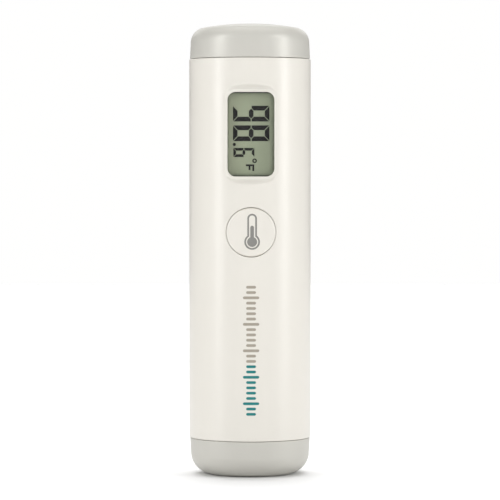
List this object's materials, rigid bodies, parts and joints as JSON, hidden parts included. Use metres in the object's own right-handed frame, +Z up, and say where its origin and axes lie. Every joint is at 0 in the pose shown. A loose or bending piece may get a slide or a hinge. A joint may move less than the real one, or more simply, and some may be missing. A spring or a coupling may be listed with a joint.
{
  "type": "digital ear thermometer",
  "caption": "Straight round digital ear thermometer with a pull-off domed probe cap, a recessed display, a flush scan button and a pull-off battery cap.",
  "frame": {"origin": "centre of the flat foot that the thermometer stands on", "axes": "+Z up along the barrel towards the probe cap; the display and the button face -Y"},
  "size_m": [0.034, 0.034, 0.126],
  "materials": {
    "barrel_plastic": "satin",
    "cap_plastic": "satin",
    "liner_plastic": "matte",
    "button_plastic": "satin",
    "window_clear": "gloss",
    "foam_black": "matte",
    "lcd_film": "satin",
    "lcd_glass": "gloss",
    "lcd_ground": "satin",
    "inner_plastic_black": "matte",
    "contact_rubber": "matte",
    "steel": "satin",
    "screw_steel": "satin",
    "board_green": "satin",
    "chip_black": "matte",
    "chip_ceramic": "matte",
    "connector_cream": "matte",
    "flex_amber": "satin",
    "probe_plastic": "satin",
    "silicon": "polished",
    "seal_rubber": "matte",
    "sleeve_metal": "satin",
    "sensor_metal": "satin",
    "gold_plate": "polished",
    "retainer_plastic": "matte",
    "cradle_plastic": "matte",
    "cell_can": "satin",
    "cell_print": "gloss",
    "contact_nickel": "satin"
  },
  "bodies": {
    "base_cap": {"base_cap_shell": "cap_plastic", "base_cap_insert": "liner_plastic", "base_seal": "seal_rubber", "bridge_contact": "contact_nickel", "base_spring": "contact_nickel"},
    "barrel": {"front_shell": "barrel_plastic", "rear_shell": "barrel_plastic", "display_window": "window_clear", "window_gasket": "foam_black", "lcd_polariser": "lcd_film", "lcd_front_glass": "lcd_glass", "lcd_back_glass": "lcd_glass", "lcd_reflector": "lcd_ground", "lcd_holder": "inner_plastic_black", "contact_strip_upper": "contact_rubber", "contact_strip_lower": "contact_rubber", "switch_base": "inner_plastic_black", "switch_cover": "steel", "circuit_board": "board_green", "main_chip": "chip_black", "memory_chip": "chip_black", "crystal": "steel", "chip_components": "chip_ceramic", "buzzer": "inner_plastic_black", "flex_connector": "connector_cream", "sensor_flex": "flex_amber", "board_screws": "screw_steel", "housing_screws": "screw_steel", "probe_housing": "probe_plastic", "probe_window": "silicon", "probe_seal": "seal_rubber", "sensor_sleeve": "sleeve_metal", "sensor_can": "sensor_metal", "sensor_filter": "silicon", "thermopile_chip": "silicon", "sensor_header": "gold_plate", "sensor_leads": "gold_plate", "sensor_retainer": "retainer_plastic", "sensor_board": "board_green", "battery_cradle": "cradle_plastic", "battery_left": "cell_can", "battery_right": "cell_can", "battery_left_sleeve": "cell_print", "battery_right_sleeve": "cell_print", "positive_contact": "contact_nickel", "negative_contact": "contact_nickel", "upper_spring": "contact_nickel"},
    "probe_cap": {"probe_cap_shell": "cap_plastic", "probe_cap_liner": "liner_plastic"},
    "scan_button": {"scan_button": "button_plastic"},
    "switch_plunger": {"switch_plunger": "inner_plastic_black"}
  },
  "joints": [
    {"name": "barrel_lift", "type": "slide", "parent": "base_cap", "child": "barrel", "axis": [0, 0, 1], "range_m": [0, 0.025]},
    {"name": "probe_cap_pull", "type": "slide", "parent": "barrel", "child": "probe_cap", "axis": [0, 0, 1], "range_m": [0, 0.03]},
    {"name": "scan_button_press", "type": "slide", "parent": "barrel", "child": "scan_button", "axis": [0, 1, 0], "range_m": [0, 0.0005], "stiffness_N_per_m": 600, "springref_m": -0.0005},
    {"name": "switch_plunger_press", "type": "slide", "parent": "barrel", "child": "switch_plunger", "axis": [0, 1, 0], "range_m": [0, 0.0005]}
  ],
  "couplings": [
    {"joint": "switch_plunger_press", "follows": "scan_button_press", "ratio": 1}
  ]
}
